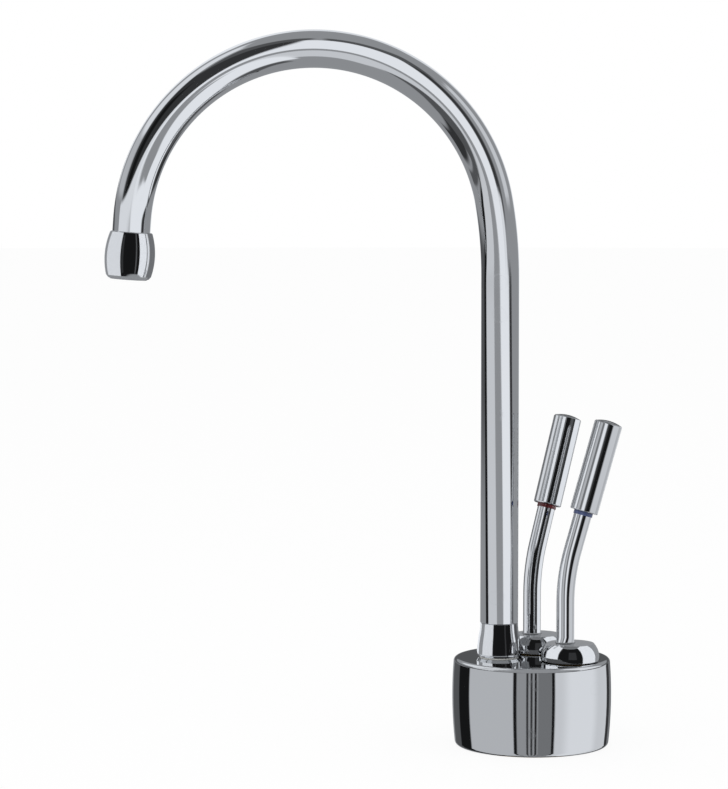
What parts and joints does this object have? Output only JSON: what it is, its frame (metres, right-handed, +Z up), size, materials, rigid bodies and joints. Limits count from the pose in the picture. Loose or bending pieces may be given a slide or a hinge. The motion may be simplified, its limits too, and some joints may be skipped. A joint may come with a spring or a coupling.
{
  "type": "boiling water tap",
  "caption": "Chromed worktop tap for boiling and cold water: round base, swivelling gooseneck spout, hot and cold levers with cylindrical grips.",
  "frame": {"origin": "centre of the base at the worktop's surface, on the shank's axis", "axes": "+Z up out of the worktop, -X towards the side the spout reaches to, -Y towards the cold lever"},
  "size_m": [0.2172, 0.067, 0.4085],
  "materials": {
    "chrome": "polished chrome plate",
    "brass": "machined",
    "steel": "machined stainless",
    "rubber": "matt black",
    "plastic": "moulded white",
    "ceramic": "lapped alumina",
    "hot_mark": "dark red",
    "cold_mark": "dark blue"
  },
  "bodies": {
    "base": {"base_shell": "chrome", "access_plug": "chrome", "valve_body": "brass", "passage_plug": "brass", "shank": "brass", "shank_nut": "brass", "tail_supply": "brass", "tail_tank_feed": "brass", "tail_tank_return": "brass", "hot_cartridge_body": "brass", "hot_bonnet_nut": "brass", "cold_cartridge_body": "brass", "cold_bonnet_nut": "brass", "steel_washer": "steel", "spout_grub_screw": "steel", "fixing_screw_1": "steel", "fixing_screw_2": "steel", "fixing_screw_3": "steel", "deck_gasket": "rubber", "rubber_washer": "rubber", "hot_seat_seal": "rubber", "cold_seat_seal": "rubber", "base_ring": "plastic", "swivel_bush": "plastic", "slip_washer": "plastic", "hot_fixed_disc": "ceramic", "cold_fixed_disc": "ceramic"},
    "spout": {"spout_tube": "chrome", "spout_collar": "chrome", "spout_spigot": "brass", "spigot_o_ring_lower": "rubber", "spigot_o_ring_upper": "rubber", "outlet_housing": "chrome", "outlet_washer": "rubber", "flow_straightener": "plastic", "outlet_ring": "chrome"},
    "hot_lever": {"hot_moving_disc": "ceramic", "hot_stem": "brass", "hot_stem_o_ring": "rubber", "hot_cap": "chrome", "hot_cap_set_screw": "steel", "hot_lever_rod": "chrome", "hot_index_ring": "hot_mark", "hot_grip": "chrome"},
    "cold_lever": {"cold_moving_disc": "ceramic", "cold_stem": "brass", "cold_stem_o_ring": "rubber", "cold_cap": "chrome", "cold_cap_set_screw": "steel", "cold_lever_rod": "chrome", "cold_index_ring": "cold_mark", "cold_grip": "chrome"}
  },
  "joints": [
    {"name": "spout_swivel", "type": "hinge", "parent": "base", "child": "spout", "pos_m": [-0.0138, 0.0008, 0.037], "axis": [0, 0, 1], "continuous": true},
    {"name": "hot_lever_turn", "type": "hinge", "parent": "base", "child": "hot_lever", "pos_m": [0.0025, 0.0155, 0.037], "axis": [0, 0, 1], "range_deg": [0, 90]},
    {"name": "cold_lever_turn", "type": "hinge", "parent": "base", "child": "cold_lever", "pos_m": [0.0158, -0.0101, 0.037], "axis": [0, 0, 1], "range_deg": [-90, 0]}
  ]
}
